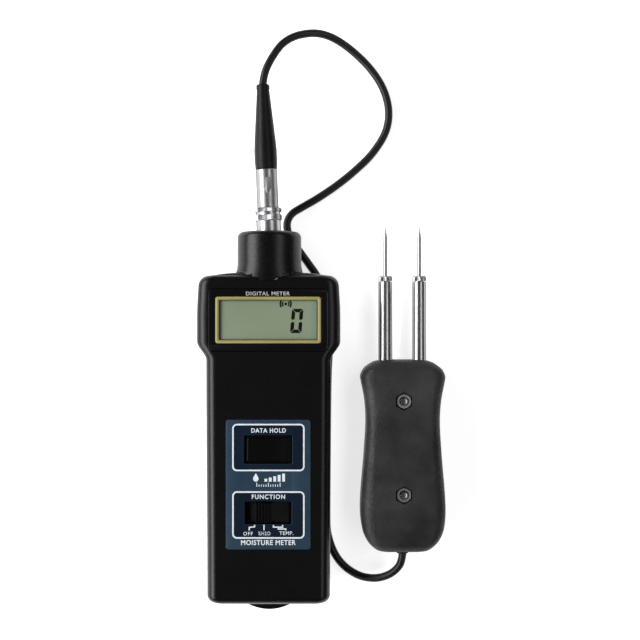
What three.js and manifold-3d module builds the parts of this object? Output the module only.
// Pin-type moisture meter for flooring work: a hand-held meter lying on its back, with a two-pin
// probe joined to it by a plug-in lead. Millimetres. +X is right across the meter's face, +Y runs
// from the battery end to the plug end, +Z is up out of the face. The origin is on the middle of
// the case's flat back, on the surface that the meter lies on.

import * as THREE from "three";
import { mergeVertices } from "three/addons/utils/BufferGeometryUtils.js";
import Module from "manifold-3d";

const wasm = await Module();
wasm.setup();

// ---------------------------------------------------------------- driving dimensions

const GAP = 0.3; // clearance between neighbouring pieces
const WALL = 2.0; // moulded wall of the case

const CASE = {
  bottom: -78.7,
  top: 64.2,
  front: 26.0,
  seam: 13.0, // height of the joint between the two shells
  bodyHalf: 27.0, // half width of the grip
  headHalf: 31.0, // half width of the display head
  flareFrom: 26.5,
  flareTo: 34.5,
  liftFrom: 10.0, // the back rises towards the head from here
  liftSlope: 0.08,
  frontEdge: 4.6, // rounding of the long front edges
  backEdge: 12.0, // rounding of the long back edges
  endEdge: 4.0,
};
const NECK = { halfX: 14.0, halfZ: 11.8, z: 14.2, end: 82.4, bore: 7.0, boreFloor: 74.0 };
const SPIGOT = { radius: 7.4, hole: 7.7, bore: 6.4 };
const DISPLAY = { y: 43.8, panelX: 51.8, panelY: 27.0, trimX: 45.2, trimY: 20.0, viewX: 42.3, viewY: 17.2 };
const LABEL = { y: -26.7, x: 36.3, length: 55.6, thick: 0.5 };
const KEY = { y: -11.7, holeX: 20.7, holeY: 12.3, padX: 17.7, padY: 9.6, top: 26.5 };
const SLIDER = { y: -38.8, holeX: 20.2, holeY: 9.9, pitch: 4.1, gripX: 6.9, gripY: 8.4 };
const BOARD = { low: 16.7, high: 18.3, halfX: 21.8, from: -52.0, to: 54.0 };
const BAY = { halfX: 21.0, from: -71.0, to: -22.0, roof: 15.0, skin: 1.2 };
const CELL = { radius: 5.1, length: 44.5, pitch: 10.45, y: -46.5, z: 9.3 };
const DOOR = { halfX: 20.8, to: -20.4, thick: 2.0, lugRadius: 19.6, lugEnd: -82.6, lugHigh: 16.0 };
const SCREWS = [
  { name: "case_screw_upper_left", x: -25.2, y: 58.2, outside: 6.3 },
  { name: "case_screw_upper_right", x: 25.2, y: 58.2, outside: 6.3 },
  { name: "case_screw_middle_left", x: -14.0, y: 2.0, outside: 0 },
  { name: "case_screw_middle_right", x: 14.0, y: 2.0, outside: 0 },
];
const PLUG = {
  lean: THREE.MathUtils.degToRad(2.4), // the plug stands this far off the neck's axis
  pivot: 78.0,
  bore: 5.0,
  skirt: 5.85,
  ring: 6.0,
  barrel: 4.7,
  barrelFrom: 82.2,
  bootFrom: 110.0,
  bootTo: 147.0,
};
const CORD = { diameter: 3.5 };
const PROBE = { x: 58.6, mid: 10.5, thick: 21.0, tubeGap: 15.0, tubeRadius: 3.05, wall: 2.2 };
const PROBE_SCREWS = [
  { name: "upper", y: 8.5 },
  { name: "lower", y: -32.2 },
];

// ---------------------------------------------------------------- colours and finishes

const finish = (color, roughness, metalness = 0) =>
  new THREE.MeshStandardMaterial({ color, roughness, metalness });
const FINISH = {
  caseBlack: finish(0x101010, 0.42),
  gripBlack: finish(0x262626, 0.6),
  keyBlack: finish(0x0b0b0c, 0.5),
  glossBlack: finish(0x0c0c10, 0.2),
  gold: finish(0xc8a94a, 0.35, 0.6),
  clear: finish(0xdfe8e4, 0.05),
  liquidCrystal: finish(0x869682, 0.4),
  slateLabel: finish(0x35424f, 0.45),
  chrome: finish(0xd5d5d5, 0.12, 1),
  steel: finish(0xa8a8a8, 0.3, 1),
  brass: finish(0xb08d4a, 0.35, 1),
  rubber: finish(0x141414, 0.7),
  whitePlastic: finish(0xe8e6de, 0.5),
  circuitGreen: finish(0x1d5b34, 0.45),
  batteryWrap: finish(0x2a4a78, 0.4),
};

// ---------------------------------------------------------------- geometry helpers

function solid(geometry) {
  const bare = geometry.clone();
  bare.deleteAttribute("normal");
  bare.deleteAttribute("uv");
  const merged = mergeVertices(bare, 1e-4);
  return new wasm.Manifold(
    new wasm.Mesh({
      numProp: 3,
      vertProperties: merged.attributes.position.array,
      triVerts: new Uint32Array(merged.index.array),
    }),
  );
}

function geometryOf(manifold) {
  const mesh = manifold.getMesh();
  const geometry = new THREE.BufferGeometry();
  geometry.setAttribute("position", new THREE.BufferAttribute(mesh.vertProperties, 3));
  geometry.setIndex(new THREE.BufferAttribute(mesh.triVerts, 1));
  geometry.computeVertexNormals();
  return geometry;
}

// A box between two corners.
function block(low, high) {
  const size = high.map((v, i) => v - low[i]);
  const centre = high.map((v, i) => (v + low[i]) / 2);
  return solid(new THREE.BoxGeometry(...size).translate(...centre));
}

// A box centred on x and y, between two heights.
const slab = (x, y, sizeX, sizeY, low, high) =>
  block([x - sizeX / 2, y - sizeY / 2, low], [x + sizeX / 2, y + sizeY / 2, high]);

// A round-cornered plate lying flat, between two heights.
function plate(x, y, sizeX, sizeY, radius, low, high) {
  const halfX = sizeX / 2;
  const halfY = sizeY / 2;
  const outline = new THREE.Shape();
  outline.moveTo(-halfX + radius, -halfY);
  outline.lineTo(halfX - radius, -halfY);
  outline.absarc(halfX - radius, -halfY + radius, radius, -Math.PI / 2, 0);
  outline.lineTo(halfX, halfY - radius);
  outline.absarc(halfX - radius, halfY - radius, radius, 0, Math.PI / 2);
  outline.lineTo(-halfX + radius, halfY);
  outline.absarc(-halfX + radius, halfY - radius, radius, Math.PI / 2, Math.PI);
  outline.lineTo(-halfX, -halfY + radius);
  outline.absarc(-halfX + radius, -halfY + radius, radius, Math.PI, 1.5 * Math.PI);
  const geometry = new THREE.ExtrudeGeometry(outline, {
    depth: high - low,
    bevelEnabled: false,
    curveSegments: 2,
  });
  return solid(geometry.translate(x, y, low));
}

// A cylinder standing along Z.
const post = (x, y, radius, low, high, sides = 12) =>
  solid(
    new THREE.CylinderGeometry(radius, radius, high - low, sides)
      .rotateX(Math.PI / 2)
      .translate(x, y, (low + high) / 2),
  );

// A turned piece along Y: the profile is a list of [radius, y], closed on itself or on the axis.
function turned(profile, x, z, sides = 18) {
  const points = profile.map(([radius, y]) => new THREE.Vector2(radius, y));
  return solid(new THREE.LatheGeometry(points, sides).translate(x, 0, z));
}

const rod = (radius, from, to, x, z, sides = 18) =>
  turned([[0, from], [radius, from], [radius, to], [0, to]], x, z, sides);

const pipe = (outer, inner, from, to, x, z, sides = 18) =>
  turned(
    [[inner, from], [outer, from], [outer, to], [inner, to], [inner, from]],
    x,
    z,
    sides,
  );

// A round wire or cable along a smooth curve through hand-chosen points.
function strand(points, radius, steps, sides) {
  const section = new THREE.Shape();
  for (let i = 0; i <= sides; i++) {
    const turn = (2 * Math.PI * i) / sides;
    const place = [radius * Math.cos(turn), radius * Math.sin(turn)];
    if (i === 0) section.moveTo(...place);
    else section.lineTo(...place);
  }
  const path = new THREE.CatmullRomCurve3(points.map((p) => new THREE.Vector3(...p)));
  return solid(
    new THREE.ExtrudeGeometry(section, { steps, bevelEnabled: false, extrudePath: path }),
  );
}

// One ring of points at a given y: a rectangle whose front and back corners are rounded.
function ring({ y, x = 0, half, low, high, front, back }) {
  const corners = [
    [half - front, high - front, front, 0],
    [-half + front, high - front, front, 1],
    [-half + back, low + back, back, 2],
    [half - back, low + back, back, 3],
  ];
  const points = [];
  for (const [cx, cz, radius, quarter] of corners) {
    const steps = quarter < 2 ? 3 : 5;
    for (let i = 0; i <= steps; i++) {
      const turn = (Math.PI / 2) * (quarter + i / steps);
      points.push([x + cx + radius * Math.cos(turn), y, cz + radius * Math.sin(turn)]);
    }
  }
  return points;
}

// An oval ring at a given y.
function oval(y, halfX, halfZ, z, sides = 28) {
  const points = [];
  for (let i = 0; i < sides; i++) {
    const turn = (2 * Math.PI * i) / sides;
    points.push([halfX * Math.cos(turn), y, z + halfZ * Math.sin(turn)]);
  }
  return points;
}

// A closed skin through rings of equally many points, capped at both ends.
function loft(rings) {
  const count = rings[0].length;
  const index = [];
  for (let k = 0; k + 1 < rings.length; k++)
    for (let i = 0; i < count; i++) {
      const a = k * count + i;
      const b = k * count + ((i + 1) % count);
      index.push(a, a + count, b, b, a + count, b + count);
    }
  const last = (rings.length - 1) * count;
  for (let i = 1; i + 1 < count; i++) {
    index.push(0, i, i + 1);
    index.push(last, last + i + 1, last + i);
  }
  const geometry = new THREE.BufferGeometry();
  geometry.setAttribute("position", new THREE.Float32BufferAttribute(rings.flat(2), 3));
  geometry.setIndex(index);
  return solid(geometry);
}

const group = new THREE.Group();

function add(name, manifold, material) {
  const mesh = new THREE.Mesh(geometryOf(manifold), material);
  mesh.name = name;
  group.add(mesh);
  return mesh;
}

// ---------------------------------------------------------------- the case's outer form

const smooth = (t) => {
  const s = Math.min(1, Math.max(0, t));
  return s * s * (3 - 2 * s);
};

// Half width across the case at a given y.
function halfWidth(y) {
  const grip = CASE.bodyHalf - 0.45 * smooth((20 - y) / 95);
  const head = CASE.headHalf - 0.7 * smooth((y - 46) / 16);
  const share = smooth((y - CASE.flareFrom) / (CASE.flareTo - CASE.flareFrom));
  return grip + (head - grip) * share;
}

const backHeight = (y) => CASE.liftSlope * Math.max(0, y - CASE.liftFrom);

// The case's skin, taken in by `inset` all round: 0 is the outside, WALL is the inside.
function caseForm(inset) {
  const rings = [];
  const station = (y, narrower = 0, raised = 0, lowered = 0) => {
    const half = halfWidth(y) - inset - narrower;
    const low = backHeight(y) + inset + raised;
    const high = CASE.front - inset - lowered;
    const front = Math.max(0.4, CASE.frontEdge - inset - lowered / 2);
    const back = Math.max(0.4, Math.min(CASE.backEdge - inset, high - low - front - 0.2, half - 0.2));
    rings.push(ring({ y, half, low, high, front, back }));
  };
  const bottom = CASE.bottom + inset;
  const top = CASE.top - inset;
  const edge = Math.max(1, CASE.endEdge - inset);
  const steps = 3;
  for (let i = 0; i <= steps; i++) {
    const turn = (Math.PI / 2) * (i / steps);
    const shrink = edge * (1 - Math.sin(turn));
    station(bottom + edge * (1 - Math.cos(turn)), shrink, shrink, shrink);
  }
  for (const y of [10, 26, 29, 32, 35, 46]) station(y);
  const corner = 4.6;
  for (let i = 0; i <= steps; i++) {
    const turn = (Math.PI / 2) * (i / steps);
    const shrink = 1 - Math.cos(turn);
    station(top - 1.1 - corner * (1 - Math.sin(turn)), corner * shrink, 1.4 * shrink, 2.8 * shrink);
  }
  station(top, 13.5, 2.0, 4.0);
  return loft(rings);
}

// ---------------------------------------------------------------- case shells and battery door

const FAR = 200;
const outer = caseForm(0);
const inner = caseForm(WALL);
const wallSkin = outer.subtract(inner);
const above = block([-FAR, -FAR, CASE.seam + GAP / 2], [FAR, FAR, FAR]);
const below = block([-FAR, -FAR, -FAR], [FAR, FAR, CASE.seam - GAP / 2]);
const neckHole = rod(SPIGOT.hole, CASE.top - 6, CASE.top + 2, 0, NECK.z, 24);

const insideFront = CASE.front - WALL;
const recess = CASE.front - 1.0; // floor of the display recess
const labelFloor = CASE.front - LABEL.thick;

// The board rests against a step on the two posts that pass through it.
const boardShoulder = (x, y) =>
  post(x, y, 4.2, BOARD.high + GAP, insideFront + 0.5).subtract(post(x, y, 1.1, 10, insideFront - 2, 10));

let frontShell = wallSkin.intersect(above);
for (const { x, y } of SCREWS) {
  frontShell = frontShell.add(post(x, y, 2.6, CASE.seam + GAP / 2, insideFront + 0.5).intersect(outer));
  frontShell = frontShell.subtract(post(x, y, 1.1, CASE.seam - 1, insideFront - 2, 10));
  if (y < 50) frontShell = frontShell.add(boardShoulder(x, y));
}
frontShell = frontShell
  .subtract(neckHole)
  .subtract(plate(0, DISPLAY.y, DISPLAY.panelX + 0.2, DISPLAY.panelY + 0.2, 2.6, recess, 30))
  .subtract(slab(0, DISPLAY.y, 41.6, 16.2, insideFront - 1, 30))
  .subtract(plate(0, LABEL.y, LABEL.x + 0.4, LABEL.length + 0.4, 1.4, labelFloor, 30))
  .subtract(slab(0, KEY.y, KEY.holeX, KEY.holeY, insideFront - 1, 30))
  .subtract(slab(0, SLIDER.y, SLIDER.holeX, SLIDER.holeY, insideFront - 1, 30));
add("front_shell", frontShell, FINISH.caseBlack);

// The door is a slice of the case's own wall, open to the battery end so that it can slide out.
const doorHole = block(
  [-DOOR.halfX - GAP, -FAR, -1],
  [DOOR.halfX + GAP, DOOR.to + GAP, 5.0],
);
const bayY = (BAY.from + BAY.to) / 2;
const bayLength = BAY.to - BAY.from;
const bayOuter = slab(0, bayY, 2 * (BAY.halfX + BAY.skin), bayLength + 2 * BAY.skin, 3, BAY.roof + 1);
const bayInner = slab(0, bayY, 2 * BAY.halfX, bayLength, -1, BAY.roof);

let backShell = wallSkin.intersect(below).add(bayOuter.intersect(outer));
for (const { x, y, outside } of SCREWS) {
  backShell = backShell.add(post(x, y, 3.5, outside, CASE.seam - GAP / 2).intersect(outer));
  backShell = backShell.subtract(post(x, y, 1.6, -1, CASE.seam + 1, 10));
  backShell = backShell.subtract(post(x, y, 2.9, -1, outside + 3.0));
}
const tongueLow = 2.75;
const tongueHigh = 3.25;
const groove = block(
  [-DOOR.halfX - 0.9, -FAR, tongueLow - 0.2],
  [DOOR.halfX + 0.9, DOOR.to + GAP, tongueHigh + 0.2],
);
backShell = backShell.subtract(neckHole).subtract(bayInner).subtract(doorHole).subtract(groove);
add("back_shell", backShell, FINISH.caseBlack);

const doorSkin = outer
  .subtract(caseForm(DOOR.thick))
  .intersect(block([-DOOR.halfX, -FAR, -1], [DOOR.halfX, DOOR.to, 4.7]));
const doorTongue = block(
  [-DOOR.halfX - 0.6, CASE.bottom + 5, tongueLow],
  [DOOR.halfX + 0.6, DOOR.to - 1, tongueHigh],
).subtract(block([-DOOR.halfX + 1.6, -FAR, 0], [DOOR.halfX - 1.6, FAR, 6]));
const lugCentre = DOOR.lugEnd + DOOR.lugRadius;
const doorLug = post(0, lugCentre, DOOR.lugRadius, 0.4, DOOR.lugHigh, 64)
  .intersect(block([-FAR, -FAR, 0], [FAR, CASE.bottom - GAP, 30]))
  .add(
    post(0, lugCentre, DOOR.lugRadius, 0.4, 3.4, 64).intersect(
      block([-11, -FAR, 0], [11, CASE.bottom + 6, 30]),
    ),
  );
let batteryDoor = doorSkin.add(doorTongue).add(doorLug);
for (let i = 0; i < 5; i++)
  batteryDoor = batteryDoor.subtract(slab(0, -66 + 2.6 * i, 22, 1.2, -1, 0.6));
add("battery_door", batteryDoor, FINISH.caseBlack);

// ---------------------------------------------------------------- neck, with its recess for the plug

const neckOval = (y, grow) => oval(y, NECK.halfX + grow, NECK.halfZ + Math.min(0, grow), NECK.z);
const neckSkin = loft([
  neckOval(CASE.top - 3.4, 0.9),
  neckOval(CASE.top + 1.6, 0.7),
  neckOval(CASE.top + 5.0, 0),
  neckOval(NECK.end - 2.0, 0),
  neckOval(NECK.end - 0.8, -0.4),
  neckOval(NECK.end, -1.9),
]).subtract(caseForm(-GAP));
const neckSpigot = rod(SPIGOT.radius, CASE.top - 4.6, CASE.top + 1, 0, NECK.z, 24);
const neckFlange = rod(8.9, CASE.top - 4.6, CASE.top - WALL - GAP, 0, NECK.z, 24);
const neckCollar = neckSkin
  .add(neckSpigot)
  .add(neckFlange.intersect(caseForm(WALL + GAP)))
  .subtract(rod(NECK.bore, NECK.boreFloor, NECK.end + 1, 0, NECK.z, 24))
  .subtract(rod(SPIGOT.bore, CASE.top - 6, NECK.boreFloor - 2.5, 0, NECK.z, 24))
  .subtract(rod(4.0, NECK.boreFloor - 5, NECK.boreFloor + 1, 0, NECK.z, 18));
add("neck_collar", neckCollar, FINISH.caseBlack);

// ---------------------------------------------------------------- socket inside the neck

const socketShell = pipe(3.7, 3.0, 66.5, 81.4, 0, NECK.z, 18).add(
  pipe(5.4, 3.0, NECK.boreFloor + 0.2, NECK.boreFloor + 1.2, 0, NECK.z, 18),
);
add("socket_shell", socketShell, FINISH.chrome);
add(
  "socket_nut",
  solid(
    new THREE.CylinderGeometry(6.1, 6.1, 2.4, 6)
      .translate(0, NECK.boreFloor - 2.5 - GAP - 1.2, NECK.z),
  ).subtract(rod(4.0, 60, 80, 0, NECK.z, 18)),
  FINISH.steel,
);
add("socket_insulator", pipe(2.7, 1.3, 67.0, 81.0, 0, NECK.z, 14), FINISH.whitePlastic);
add("socket_contact", rod(1.0, 62.5, 71.0, 0, NECK.z, 12), FINISH.brass);
add(
  "signal_wire",
  strand(
    [[0, 62.0, NECK.z], [1.0, 60.0, NECK.z], [2.0, 57.5, 15.6], [2.0, 55.6, 17.5]],
    0.6,
    6,
    5,
  ),
  FINISH.whitePlastic,
);

// ---------------------------------------------------------------- display

const panel = (sizeX, sizeY, radius, low, high) =>
  plate(0, DISPLAY.y, sizeX, sizeY, radius, low, high);
add(
  "display_surround",
  panel(DISPLAY.panelX - 0.2, DISPLAY.panelY - 0.2, 2.5, recess + 0.05, CASE.front - 0.15)
    .subtract(panel(DISPLAY.trimX + 0.4, DISPLAY.trimY + 0.4, 1.2, 20, 30)),
  FINISH.glossBlack,
);
add(
  "display_trim",
  panel(DISPLAY.trimX, DISPLAY.trimY, 1.1, recess + 0.05, CASE.front + 0.1)
    .subtract(panel(DISPLAY.viewX, DISPLAY.viewY, 0.5, 20, 30)),
  FINISH.gold,
);
add(
  "display_window",
  panel(DISPLAY.viewX - 0.4, DISPLAY.viewY - 0.4, 0.4, recess + 0.05, recess + 0.9),
  FINISH.clear,
);
const crystal = { x: 43.4, y: 20.6, low: 21.6, high: 23.7 };
add("lcd_panel", panel(crystal.x, crystal.y, 0.3, crystal.low, crystal.high), FINISH.liquidCrystal);
add(
  "lcd_holder",
  slab(0, DISPLAY.y, 46.0, 23.2, BOARD.high + 0.2, crystal.high)
    .subtract(slab(0, DISPLAY.y, crystal.x + 0.6, crystal.y + 0.6, 10, 30)),
  FINISH.whitePlastic,
);
for (const [name, side] of [["upper", 1], ["lower", -1]])
  add(
    `lcd_strip_${name}`,
    slab(0, DISPLAY.y + 9.0 * side, 40, 2.0, BOARD.high + 0.1, crystal.low - 0.1),
    FINISH.rubber,
  );

// ---------------------------------------------------------------- label, key and slide knob

add(
  "label_plate",
  plate(0, LABEL.y, LABEL.x, LABEL.length, 1.2, labelFloor + 0.05, CASE.front + 0.05)
    .subtract(slab(0, KEY.y, KEY.holeX, KEY.holeY, 20, 30))
    .subtract(slab(0, SLIDER.y, SLIDER.holeX, SLIDER.holeY, 20, 30)),
  FINISH.slateLabel,
);

// The key: a raised pad on a skirt that fills the hole, and a flange that keeps it in.
const keySkirt = slab(0, KEY.y, KEY.holeX - 0.6, KEY.holeY - 0.6, 22.4, CASE.front - 0.8);
const keyPad = slab(0, KEY.y, KEY.padX, KEY.padY, 23, KEY.top)
  .subtract(
    solid(new THREE.CylinderGeometry(60, 60, 30, 96).translate(0, KEY.y, KEY.top + 59.5)),
  );
const keyFlange = slab(0, KEY.y, KEY.holeX + 1.6, KEY.holeY + 1.6, 22.4, 23.4);
add("hold_key", keySkirt.add(keyPad).add(keyFlange), FINISH.keyBlack);

const tact = { half: 3.0, high: 20.9, bore: 1.9 };
add(
  "tact_switch",
  slab(0, KEY.y, 2 * tact.half, 2 * tact.half, BOARD.high + 0.05, tact.high)
    .subtract(post(0, KEY.y, tact.bore, 18.9, 30, 12)),
  FINISH.steel,
);
add("tact_plunger", post(0, KEY.y, 1.6, 20.3, 22.1, 12), FINISH.whitePlastic);

// The slide knob rests on the second of its four places. Its cover fills the window at each one.
const knobX = -SLIDER.pitch / 2;
const knobTop = CASE.front + 0.7;
let knob = slab(knobX, SLIDER.y, SLIDER.gripX, SLIDER.gripY, 22.7, knobTop)
  .add(slab(knobX, SLIDER.y, 33.0, SLIDER.holeY + 2.4, 22.7, 23.5))
  .add(slab(knobX, SLIDER.y, 1.8, 1.8, 20.2, 23));
for (let i = -2; i <= 2; i++)
  knob = knob.subtract(slab(knobX + 1.25 * i, SLIDER.y, 0.55, 12, knobTop - 0.7, 40));
add("slide_knob", knob, FINISH.keyBlack);
add(
  "slide_switch",
  slab(0, SLIDER.y, 20.0, 7.0, BOARD.high + 0.05, 22.2)
    .subtract(slab(0, SLIDER.y, 3 * SLIDER.pitch + 3.0, 2.6, 19.8, 30)),
  FINISH.steel,
);

// ---------------------------------------------------------------- circuit board and batteries

let board = block([-BOARD.halfX, BOARD.from, BOARD.low], [BOARD.halfX, BOARD.to, BOARD.high]);
for (const { x, y } of SCREWS.slice(2))
  board = board.subtract(post(x, y, 3.2, 10, 30));
add("main_board", board, FINISH.circuitGreen);
add(
  "processor_chip",
  slab(0, 18.0, 11, 11, BOARD.high + 0.05, BOARD.high + 2.2),
  FINISH.keyBlack,
);

const contactPlate = (y) => block([-20.5, y, 5.0], [20.5, y + 0.4, 13.6]);
let lowerContact = contactPlate(BAY.from + 0.3);
let upperContact = contactPlate(BAY.to - 0.7);
const cellX = (i) => CELL.pitch * (i - 1.5);
for (let i = 0; i < 4; i++) {
  const end = i % 2 ? 1 : -1; // the cells lie head to tail
  const x = cellX(i);
  const half = CELL.length / 2;
  const wrap = rod(CELL.radius, CELL.y - half + 0.9, CELL.y + half - 0.9, x, CELL.z, 16);
  const nipple = rod(1.9, CELL.y - half, CELL.y + half, x, CELL.z, 10).intersect(
    end > 0
      ? block([-FAR, CELL.y, -FAR], [FAR, FAR, FAR])
      : block([-FAR, -FAR, -FAR], [FAR, CELL.y, FAR]),
  );
  add(`battery_cell_${i + 1}`, wrap.add(nipple), FINISH.batteryWrap);

  // A wire spring, fixed to the contact plate, presses on the flat end of each cell.
  const flatEnd = CELL.y - end * (half - 0.9);
  const turns = 2.5;
  const coilFrom = end > 0 ? BAY.from + 0.7 : BAY.to - 0.7;
  const coilTo = flatEnd - end * 0.5;
  const coil = [];
  for (let k = 0; k <= 20; k++) {
    const share = k / 20;
    const turn = 2 * Math.PI * turns * share;
    const radius = 3.6 - 1.4 * share;
    coil.push([
      x + radius * Math.cos(turn),
      coilFrom + (coilTo - coilFrom) * share,
      CELL.z + radius * Math.sin(turn),
    ]);
  }
  const spring = strand(coil, 0.3, 24, 4);
  if (end > 0) lowerContact = lowerContact.add(spring);
  else upperContact = upperContact.add(spring);
}
add("battery_contact_lower", lowerContact, FINISH.steel);
add("battery_contact_upper", upperContact, FINISH.steel);

// ---------------------------------------------------------------- case screws

for (const { name, x, y, outside } of SCREWS) {
  const head = post(x, y, 2.5, outside + 0.9, outside + 2.7);
  const slot = slab(x, y, 6, 0.7, outside, outside + 1.6).add(
    slab(x, y, 0.7, 6, outside, outside + 1.6),
  );
  const thread = post(x, y, 0.95, outside + 2, 20.5, 10);
  add(name, head.subtract(slot).add(thread), FINISH.steel);
}

// ---------------------------------------------------------------- plug, leaning a little in its socket

const plugFrame = new THREE.Group();
plugFrame.position.set(0, PLUG.pivot, NECK.z);
plugFrame.rotation.z = PLUG.lean;
group.add(plugFrame);

function addPlug(name, profile, material, sides = 18) {
  const points = profile.map(([radius, y]) => new THREE.Vector2(radius, y - PLUG.pivot));
  const mesh = new THREE.Mesh(geometryOf(solid(new THREE.LatheGeometry(points, sides))), material);
  mesh.name = name;
  plugFrame.add(mesh);
}

addPlug(
  "plug_collar",
  [
    [PLUG.bore, 75.6], [PLUG.skirt, 75.6], [PLUG.skirt, 87.5], [PLUG.ring, 87.5],
    [PLUG.ring, 89.7], [5.35, 89.9], [5.35, 90.9], [PLUG.ring, 91.1],
    [PLUG.ring, 92.5], [PLUG.ring - 0.3, 92.8], [PLUG.bore, 92.8], [PLUG.bore, 75.6],
  ],
  FINISH.chrome,
  24,
);
addPlug(
  "plug_barrel",
  [
    [3.1, PLUG.barrelFrom], [PLUG.barrel, PLUG.barrelFrom], [PLUG.barrel, PLUG.bootFrom - GAP],
    [3.1, PLUG.bootFrom - GAP], [3.1, PLUG.barrelFrom],
  ],
  FINISH.chrome,
);
addPlug(
  "plug_insulator",
  [[1.2, 83.0], [2.8, 83.0], [2.8, 95.0], [1.2, 95.0], [1.2, 83.0]],
  FINISH.whitePlastic,
  14,
);
addPlug("plug_pin", [[0, 74.2], [0.7, 75.2], [0.7, 98.0], [0, 98.0]], FINISH.brass, 12);
addPlug(
  "plug_boot",
  [
    [0, PLUG.bootFrom], [4.7, PLUG.bootFrom], [4.95, 113.5], [4.95, 118.0], [4.66, 122.5],
    [4.02, 130.0], [3.35, 138.0], [2.9, 143.5], [2.85, 146.2], [2.6, PLUG.bootTo],
    [2.1, PLUG.bootTo], [2.1, 142.0], [0, 142.0],
  ],
  FINISH.rubber,
);

// ---------------------------------------------------------------- lead between plug and probe

// It leaves the boot, falls to the surface in a loop, passes under the neck, the raised head and
// the rounded back edge of the grip, and comes round to the bottom of the probe.
const LEAD_ROUTE = [
  [-2.7, 142.6, 14.2], [-2.9, 147.2, 14.2], [-1.6, 153.6, 13.7], [1.6, 160.2, 12.5],
  [6.0, 166.2, 10.8], [12.2, 170.1, 8.6], [20.5, 171.7, 6.2], [28.2, 170.0, 4.3],
  [36.6, 164.7, 2.75], [44.9, 156.7, 1.9], [50.7, 147.6, 1.77], [53.1, 137.7, 1.77],
  [51.6, 128.2, 1.77], [45.6, 118.6, 1.77], [37.7, 110.8, 1.77], [29.5, 104.2, 1.77],
  [20.9, 98.4, 1.77], [14.3, 94.6, 1.77], [9.6, 91.6, 1.77], [7.5, 87.8, 1.77],
  [7.9, 83.2, 1.77], [10.4, 78.4, 1.77], [13.8, 73.6, 1.77], [17.4, 68.6, 1.77],
  [20.9, 63.4, 1.77], [24.1, 56.0, 1.77], [26.1, 46.0, 1.77], [26.5, 34.0, 1.77],
  [25.8, 20.0, 1.77], [25.5, 0.0, 1.77], [25.3, -24.0, 1.77], [25.2, -42.0, 1.77],
  [25.5, -51.0, 1.77], [27.5, -58.4, 1.77], [30.6, -64.0, 1.9], [35.0, -68.2, 2.6],
  [40.8, -71.0, 3.8], [47.3, -71.4, 5.6], [53.2, -69.2, 7.6], [57.2, -65.2, 9.4],
  [58.6, -60.4, 10.4], [58.6, -55.0, 10.5], [58.6, -50.2, 10.5],
];
add("cable", strand(LEAD_ROUTE, CORD.diameter / 2, 84, 6), FINISH.rubber);

// ---------------------------------------------------------------- probe handle

// Half width, back and front of the handle along its length, as [y, half, low, high].
const HANDLE_STATIONS = [
  [-58.0, 7.2, 6.2, 14.8], [-56.9, 11.6, 3.0, 18.2], [-54.4, 14.5, 1.0, 20.1],
  [-51.4, 16.5, 0.3, 20.8], [-47.6, 17.9, 0, 21], [-41.0, 18.6, 0, 21], [-32.0, 18.3, 0, 21],
  [-17.0, 17.0, 0, 21], [-2.0, 16.1, 0, 21], [8.0, 16.6, 0, 21],
  [16.3, 18.15, 0, 21], [18.8, 18.5, 0, 21], [21.0, 17.8, 0.2, 20.8],
  [23.0, 16.3, 0.9, 20.1], [25.3, 12.9, 3.0, 18.2], [26.3, 8.4, 6.2, 14.8],
];

function handleForm(inset) {
  const rings = HANDLE_STATIONS.map(([y, half, low, high], i) => {
    const inwards = i < 5 ? inset : i > 10 ? -inset : 0;
    const edge = Math.min(5.2, (high - low) / 2 - 0.2, half - 0.2) - inset;
    return ring({
      y: y + inwards,
      x: PROBE.x,
      half: half - inset,
      low: low + inset,
      high: high - inset,
      front: Math.max(0.3, edge),
      back: Math.max(0.3, edge - 1.5),
    });
  });
  return loft(rings);
}

const handleOuter = handleForm(0);
const handleWall = handleOuter.subtract(handleForm(PROBE.wall));
const probeAbove = block([-FAR, -FAR, PROBE.mid + GAP / 2], [FAR, FAR, FAR]);
const probeBelow = block([-FAR, -FAR, -FAR], [FAR, FAR, PROBE.mid - GAP / 2]);
const tubeX = [PROBE.x - PROBE.tubeGap / 2, PROBE.x + PROBE.tubeGap / 2];
const tubeHoles = tubeX
  .map((x) => rod(PROBE.tubeRadius + GAP, 10, 40, x, PROBE.mid))
  .reduce((a, b) => a.add(b));
const glandHole = rod(2.8, -62, -50, PROBE.x, PROBE.mid, 20);

const nutPocket = (y) =>
  solid(
    new THREE.CylinderGeometry(3.8, 3.8, 4, 6)
      .rotateX(Math.PI / 2)
      .translate(PROBE.x, y, 20.0),
  );

let handleFront = handleWall.intersect(probeAbove);
let handleBack = handleWall.intersect(probeBelow);
for (const { y } of PROBE_SCREWS) {
  handleFront = handleFront
    .add(post(PROBE.x, y, 4.8, PROBE.mid + GAP / 2, 20, 14))
    .subtract(nutPocket(y))
    .subtract(post(PROBE.x, y, 1.8, 5, 30, 10));
  handleBack = handleBack
    .add(post(PROBE.x, y, 4.4, 1, PROBE.mid - GAP / 2, 14))
    .subtract(post(PROBE.x, y, 3.3, -1, 3.6, 14))
    .subtract(post(PROBE.x, y, 1.8, -1, 20, 10));
}
const blockSpace = block([PROBE.x - 12.3, 12.7, 2], [PROBE.x + 12.3, 22.3, 19]);
handleFront = handleFront.subtract(tubeHoles).subtract(glandHole).subtract(blockSpace);
handleBack = handleBack.subtract(tubeHoles).subtract(glandHole).subtract(blockSpace);
add("handle_front", handleFront, FINISH.gripBlack);
add("handle_back", handleBack, FINISH.gripBlack);

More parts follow.
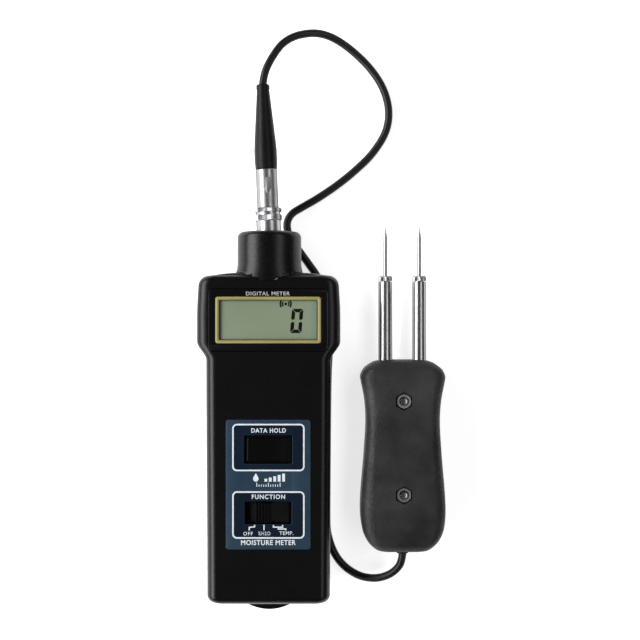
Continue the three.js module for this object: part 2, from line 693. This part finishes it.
for (const { name, y } of PROBE_SCREWS) {
  const head = post(PROBE.x, y, 2.8, 1.2, 3.3, 14).subtract(
    slab(PROBE.x, y, 6, 0.8, 0, 2.1).add(slab(PROBE.x, y, 0.8, 6, 0, 2.1)),
  );
  add(`handle_screw_${name}`, head.add(post(PROBE.x, y, 1.4, 3, 20.6, 10)), FINISH.steel);
  const nut = solid(
    new THREE.CylinderGeometry(3.35, 3.35, 2.0, 6)
      .rotateX(Math.PI / 2)
      .translate(PROBE.x, y, 19.3),
  );
  add(`handle_nut_${name}`, nut.subtract(post(PROBE.x, y, 1.75, 10, 30, 10)), FINISH.steel);
}

// ---------------------------------------------------------------- electrodes

add(
  "insulator_block",
  block([PROBE.x - 12, 13, 5], [PROBE.x + 12, 22, 16]).subtract(
    tubeX.map((x) => rod(PROBE.tubeRadius + GAP, 0, 40, x, PROBE.mid)).reduce((a, b) => a.add(b)),
  ),
  FINISH.whitePlastic,
);
[["left", tubeX[0]], ["right", tubeX[1]]].forEach(([side, x]) => {
  const at = (profile, sides) => turned(profile, x, PROBE.mid, sides);
  add(`electrode_tube_${side}`, pipe(PROBE.tubeRadius, 2.45, 11.5, 60.7, x, PROBE.mid), FINISH.chrome);
  add(`pin_chuck_${side}`, pipe(2.15, 1.1, 44.0, 57.4, x, PROBE.mid, 16), FINISH.brass);
  add(
    `collet_cap_${side}`,
    at([
      [1.15, 57.8], [2.15, 57.8], [2.15, 61.0], [3.0, 61.0], [3.0, 62.8],
      [2.5, 63.3], [1.15, 63.3], [1.15, 57.8],
    ], 18).subtract(block([x - 4, 62.6, PROBE.mid - 0.4], [x + 4, 64, PROBE.mid + 0.4])),
    FINISH.chrome,
  );
  add(
    `needle_${side}`,
    at([[0, 46.0], [0.87, 46.0], [0.87, 80.0], [0, 85.1]], 12),
    FINISH.steel,
  );
});

// ---------------------------------------------------------------- lead entry and wires in the handle

add(
  "cable_gland",
  turned(
    [
      [2.1, -59.2], [2.4, -59.2], [2.65, -58.8], [2.65, -53.0], [3.6, -52.6], [3.6, -51.0],
      [2.1, -51.0], [2.1, -59.2],
    ],
    PROBE.x,
    PROBE.mid,
    20,
  ),
  FINISH.rubber,
);
for (const [side, sign] of [["left", -1], ["right", 1]])
  add(
    `probe_wire_${side}`,
    strand(
      [
        [PROBE.x + 1.2 * sign, -48.8, PROBE.mid], [PROBE.x + 3.0 * sign, -44.0, PROBE.mid],
        [PROBE.x + 8.0 * sign, -36.0, PROBE.mid], [PROBE.x + 8.6 * sign, -24.0, PROBE.mid],
        [PROBE.x + 8.2 * sign, -6.0, PROBE.mid], [PROBE.x + 7.4 * sign, 6.0, PROBE.mid],
        [PROBE.x + 7.4 * sign, 11.0, PROBE.mid],
      ],
      0.65,
      10,
      5,
    ),
    FINISH.whitePlastic,
  );

export default group;
